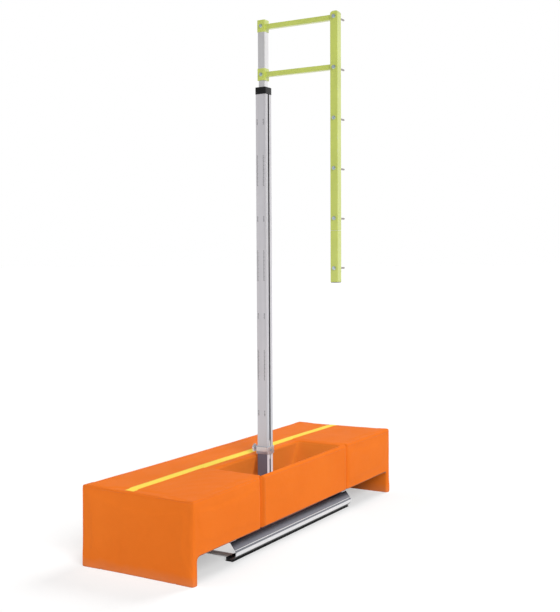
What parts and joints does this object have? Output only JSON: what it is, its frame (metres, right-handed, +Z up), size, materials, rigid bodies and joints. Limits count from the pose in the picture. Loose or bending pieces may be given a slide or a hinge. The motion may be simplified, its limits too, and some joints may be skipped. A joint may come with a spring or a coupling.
{
  "type": "pole vault standard",
  "caption": "Pole vault standard: clamped telescoping mast with a crossbar peg bar on two arms, on a carriage that slides in a low railed base, with a foam base pad.",
  "frame": {"origin": "on the ground, below the middle of the whole object's box", "axes": "+X along the crossbar, from the upright towards the middle of the landing pit; +Y along the runway, towards the pit; +Z up, along the mast"},
  "size_m": [0.9978, 2.503, 3.2305],
  "materials": {
    "rail_aluminium": "bright mill finish",
    "mast_aluminium": "satin anodised",
    "cast_aluminium": "cast, lightly machined",
    "galvanised_steel": "galvanised, dull",
    "black_steel": "black powder coat",
    "bolt_steel": "bright zinc plating",
    "yellow_paint": "yellow-green powder coat on aluminium tube",
    "black_plastic": "moulded, satin",
    "nylon": "machined nylon",
    "ground_rubber": "matt",
    "orange_cover": "coated cloth over foam, satin",
    "yellow_tape": "coated cloth, satin",
    "hook_and_loop": "woven hook and loop tape"
  },
  "bodies": {
    "base": {"pit_side_rail": "rail_aluminium", "outer_side_rail": "rail_aluminium", "front_top_strap": "rail_aluminium", "rear_top_strap": "rail_aluminium", "front_bottom_strap": "rail_aluminium", "middle_bottom_strap": "rail_aluminium", "rear_bottom_strap": "rail_aluminium", "pit_side_ground_strip": "ground_rubber", "outer_ground_strip": "ground_rubber"},
    "carriage": {"carriage_plate": "galvanised_steel", "front_pit_side_glide": "nylon", "rear_pit_side_glide": "nylon", "front_outer_glide": "nylon", "rear_outer_glide": "nylon", "upright_base_plate": "black_steel", "front_gusset": "black_steel", "rear_gusset": "black_steel", "upright_spigot": "black_steel", "foot_bolt_1": "bolt_steel", "foot_bolt_2": "bolt_steel", "foot_bolt_3": "bolt_steel", "foot_bolt_4": "bolt_steel", "outer_upright": "mast_aluminium", "upright_cap": "black_plastic"},
    "mast": {"inner_mast": "mast_aluminium", "guide_shoe": "nylon", "lock_collar": "cast_aluminium", "collar_link_bolt": "bolt_steel", "head_post": "mast_aluminium", "head_post_plug": "black_plastic", "upper_sleeve": "yellow_paint", "lower_sleeve": "yellow_paint", "upper_sleeve_bolt": "bolt_steel", "lower_sleeve_bolt": "bolt_steel", "upper_arm": "yellow_paint", "lower_arm": "yellow_paint", "peg_bar_upper": "yellow_paint", "bar_top_cap": "yellow_paint", "crossbar_peg_1": "bolt_steel", "crossbar_peg_2": "bolt_steel", "crossbar_peg_3": "bolt_steel", "crossbar_peg_4": "bolt_steel", "crossbar_peg_5": "bolt_steel"},
    "clamp_screw": {"clamp_screw": "bolt_steel"},
    "star_knob": {"star_knob": "cast_aluminium"},
    "lower_bar": {"peg_bar_lower": "yellow_paint", "bar_spigot": "mast_aluminium", "crossbar_peg_6": "bolt_steel", "bar_bottom_plug": "black_plastic"},
    "pad": {"pad_body": "orange_cover", "pad_stripe": "yellow_tape", "hook_strip": "hook_and_loop"},
    "pad_flap": {"pad_flap": "orange_cover", "loop_strip": "hook_and_loop"}
  },
  "joints": [
    {"name": "carriage_slide", "type": "slide", "parent": "base", "child": "carriage", "axis": [0, 1, 0], "range_m": [-0.455, 0.405]},
    {"name": "mast_lift", "type": "slide", "parent": "carriage", "child": "mast", "axis": [0, 0, 1], "range_m": [-0.015, 1.98]},
    {"name": "screw_advance", "type": "slide", "parent": "mast", "child": "clamp_screw", "axis": [-1, 0, 0], "range_m": [0, 0.004]},
    {"name": "knob_turn", "type": "hinge", "parent": "clamp_screw", "child": "star_knob", "pos_m": [-0.108, -0.007, 0.501], "axis": [-1, 0, 0], "range_deg": [0, 720]},
    {"name": "lower_bar_pull_off", "type": "slide", "parent": "mast", "child": "lower_bar", "axis": [0, 0, -1], "range_m": [0, 0.14]},
    {"name": "pad_pull_off", "type": "slide", "parent": "base", "child": "pad", "axis": [-1, 0, 0], "range_m": [0, 0.16]},
    {"name": "flap_hinge", "type": "hinge", "parent": "pad", "child": "pad_flap", "pos_m": [0.269, 0.556, 0.3045], "axis": [0, 0, 1], "range_deg": [0, 120]}
  ],
  "couplings": [
    {"joint": "screw_advance", "follows": "knob_turn", "m_per_rad": 0.00031831}
  ]
}
